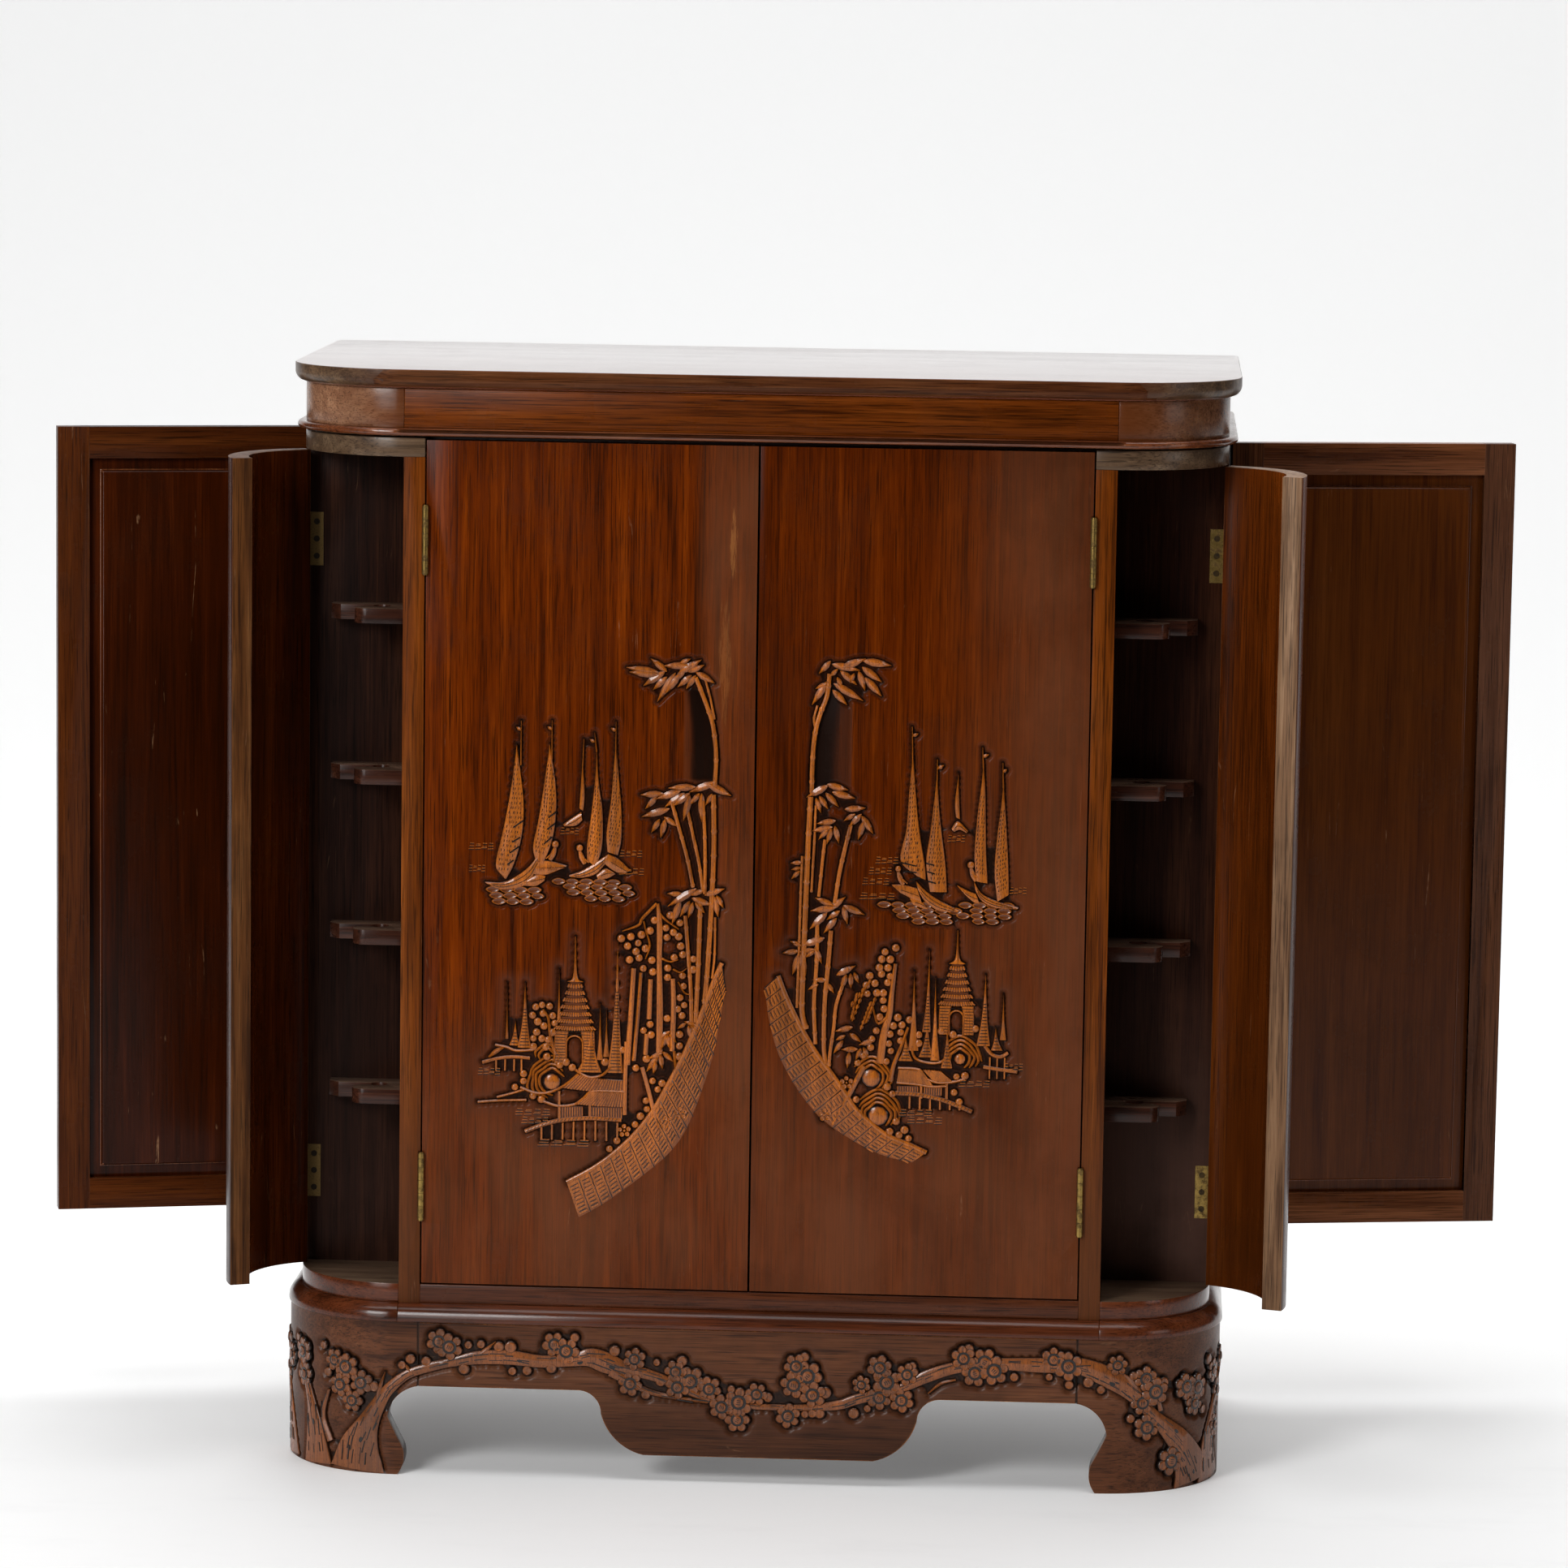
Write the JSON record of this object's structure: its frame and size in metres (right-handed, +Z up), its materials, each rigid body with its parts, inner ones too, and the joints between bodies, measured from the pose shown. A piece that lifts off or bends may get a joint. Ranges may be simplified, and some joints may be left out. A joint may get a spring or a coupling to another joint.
{
  "type": "bar cabinet",
  "caption": "Carved hardwood bar cabinet with quarter-round corner doors over glass holders, framed side doors and a lift-up lid.",
  "frame": {"origin": "on the floor at the middle of the carcass footprint", "axes": "+X to the cabinet's right as seen from the front, +Y to the back, +Z up"},
  "size_m": [1.4363, 0.4929, 1.049],
  "materials": {
    "lacquered_wood": "dark red-brown lacquer, semi-gloss, worn at the edges",
    "carved_wood": "carved hardwood, orange-brown lacquer over dark recesses",
    "inner_wood": "dark stain, matt",
    "brass": "aged brass",
    "felt": "felt"
  },
  "bodies": {
    "carcass": {"back_frame": "inner_wood", "back_panel": "inner_wood", "base_blocks": "inner_wood", "base_moulding_front": "lacquered_wood", "base_moulding_returns": "lacquered_wood", "bottom_board": "inner_wood", "bottom_rail": "lacquered_wood", "corner_back_left": "inner_wood", "corner_back_right": "inner_wood", "corner_floor_left": "inner_wood", "corner_floor_right": "inner_wood", "corner_hinge_fixed_leaves": "brass", "corner_top_left": "lacquered_wood", "corner_top_right": "lacquered_wood", "counter_board": "inner_wood", "door_catches": "brass", "fixed_hinge_screws": "brass", "front_apron": "carved_wood", "front_foot_left": "carved_wood", "front_foot_right": "carved_wood", "front_hinge_stile_leaves": "brass", "front_stile_left": "lacquered_wood", "front_stile_right": "lacquered_wood", "glass_holders_left": "inner_wood", "glass_holders_right": "inner_wood", "hinge_pins": "brass", "lid_hinge_counter_leaves": "brass", "lid_pads": "felt", "middle_shelf": "inner_wood", "partition_left": "inner_wood", "partition_right": "inner_wood", "plain_aprons": "lacquered_wood", "rear_feet": "lacquered_wood", "shelf_bearers": "inner_wood", "side_hinge_post_leaves": "brass", "side_shelves": "inner_wood"},
    "front_door_left": {"front_door_left": "carved_wood", "front_door_left_hinge_leaves": "brass"},
    "corner_door_left": {"corner_door_left": "lacquered_wood", "corner_door_left_hinge_leaves": "brass"},
    "side_door_left": {"side_door_left_frame": "lacquered_wood", "side_door_left_panel": "lacquered_wood", "side_door_left_hinge_leaves": "brass"},
    "front_door_right": {"front_door_right": "carved_wood", "front_door_right_hinge_leaves": "brass"},
    "corner_door_right": {"corner_door_right": "lacquered_wood", "corner_door_right_hinge_leaves": "brass"},
    "side_door_right": {"side_door_right_frame": "lacquered_wood", "side_door_right_panel": "lacquered_wood", "side_door_right_hinge_leaves": "brass"},
    "lid": {"lid_bead": "lacquered_wood", "lid_frieze_back": "lacquered_wood", "lid_frieze_corners": "lacquered_wood", "lid_frieze_front": "lacquered_wood", "lid_frieze_sides": "lacquered_wood", "lid_hinge_leaves": "brass", "lid_top": "lacquered_wood"}
  },
  "joints": [
    {"name": "front_door_left_hinge", "type": "hinge", "parent": "carcass", "child": "front_door_left", "pos_m": [-0.31125, -0.2122, 0], "axis": [0, 0, -1], "range_deg": [0, 115]},
    {"name": "corner_door_left_hinge", "type": "hinge", "parent": "carcass", "child": "corner_door_left", "pos_m": [-0.4382, -0.10675, 0], "axis": [0, 0, -1], "range_deg": [-65, 45]},
    {"name": "side_door_left_hinge", "type": "hinge", "parent": "carcass", "child": "side_door_left", "pos_m": [-0.4382, 0.19525, 0], "axis": [0, 0, -1], "range_deg": [-75, 45]},
    {"name": "front_door_right_hinge", "type": "hinge", "parent": "carcass", "child": "front_door_right", "pos_m": [0.31125, -0.2122, 0], "axis": [0, 0, 1], "range_deg": [0, 115]},
    {"name": "corner_door_right_hinge", "type": "hinge", "parent": "carcass", "child": "corner_door_right", "pos_m": [0.4382, -0.10675, 0], "axis": [0, 0, 1], "range_deg": [-71, 39]},
    {"name": "side_door_right_hinge", "type": "hinge", "parent": "carcass", "child": "side_door_right", "pos_m": [0.4382, 0.19525, 0], "axis": [0, 0, 1], "range_deg": [-101, 19]},
    {"name": "lid_hinge", "type": "hinge", "parent": "carcass", "child": "lid", "pos_m": [0, 0.2122, 0.986], "axis": [-1, 0, 0], "range_deg": [0, 100]}
  ]
}
